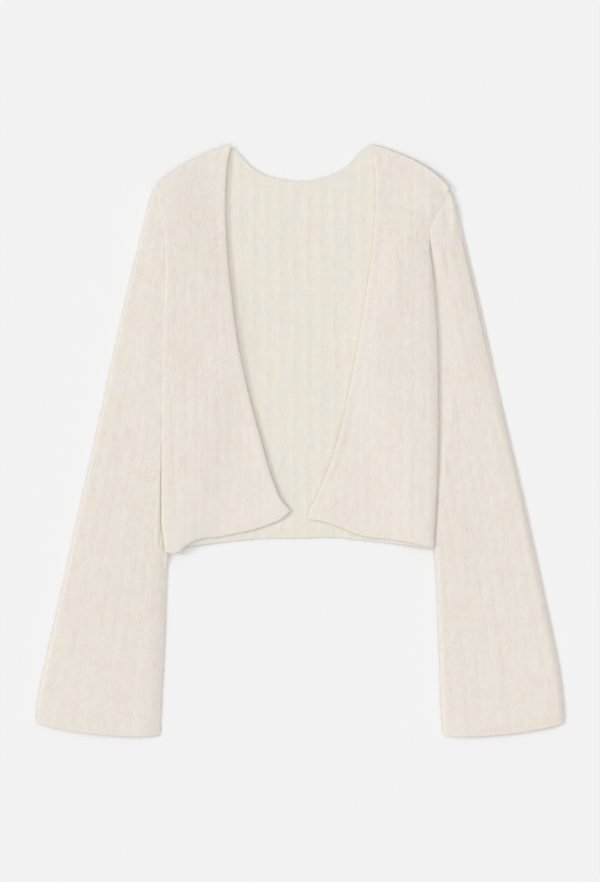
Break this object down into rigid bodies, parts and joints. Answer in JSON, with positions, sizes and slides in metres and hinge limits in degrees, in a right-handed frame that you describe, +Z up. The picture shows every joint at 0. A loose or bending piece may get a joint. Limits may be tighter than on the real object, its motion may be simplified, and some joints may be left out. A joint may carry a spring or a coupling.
{
  "type": "cardigan",
  "caption": "Open cropped cardigan in soft rib knit with long flared sleeves, laid flat on its back with the sleeves drawn down.",
  "frame": {"origin": "middle of the laid garment's outline, on the surface that it rests on", "axes": "+Y towards the neck, +X towards the wearer's left, +Z up from the surface"},
  "size_m": [0.5829, 0.6525, 0.0093],
  "materials": {
    "rib_knit": "brushed cream knit, matt and slightly hairy"
  },
  "bodies": {
    "root": {"back": "rib_knit", "front_right": "rib_knit", "front_left": "rib_knit", "sleeve_right": "rib_knit", "sleeve_left": "rib_knit"}
  },
  "joints": []
}
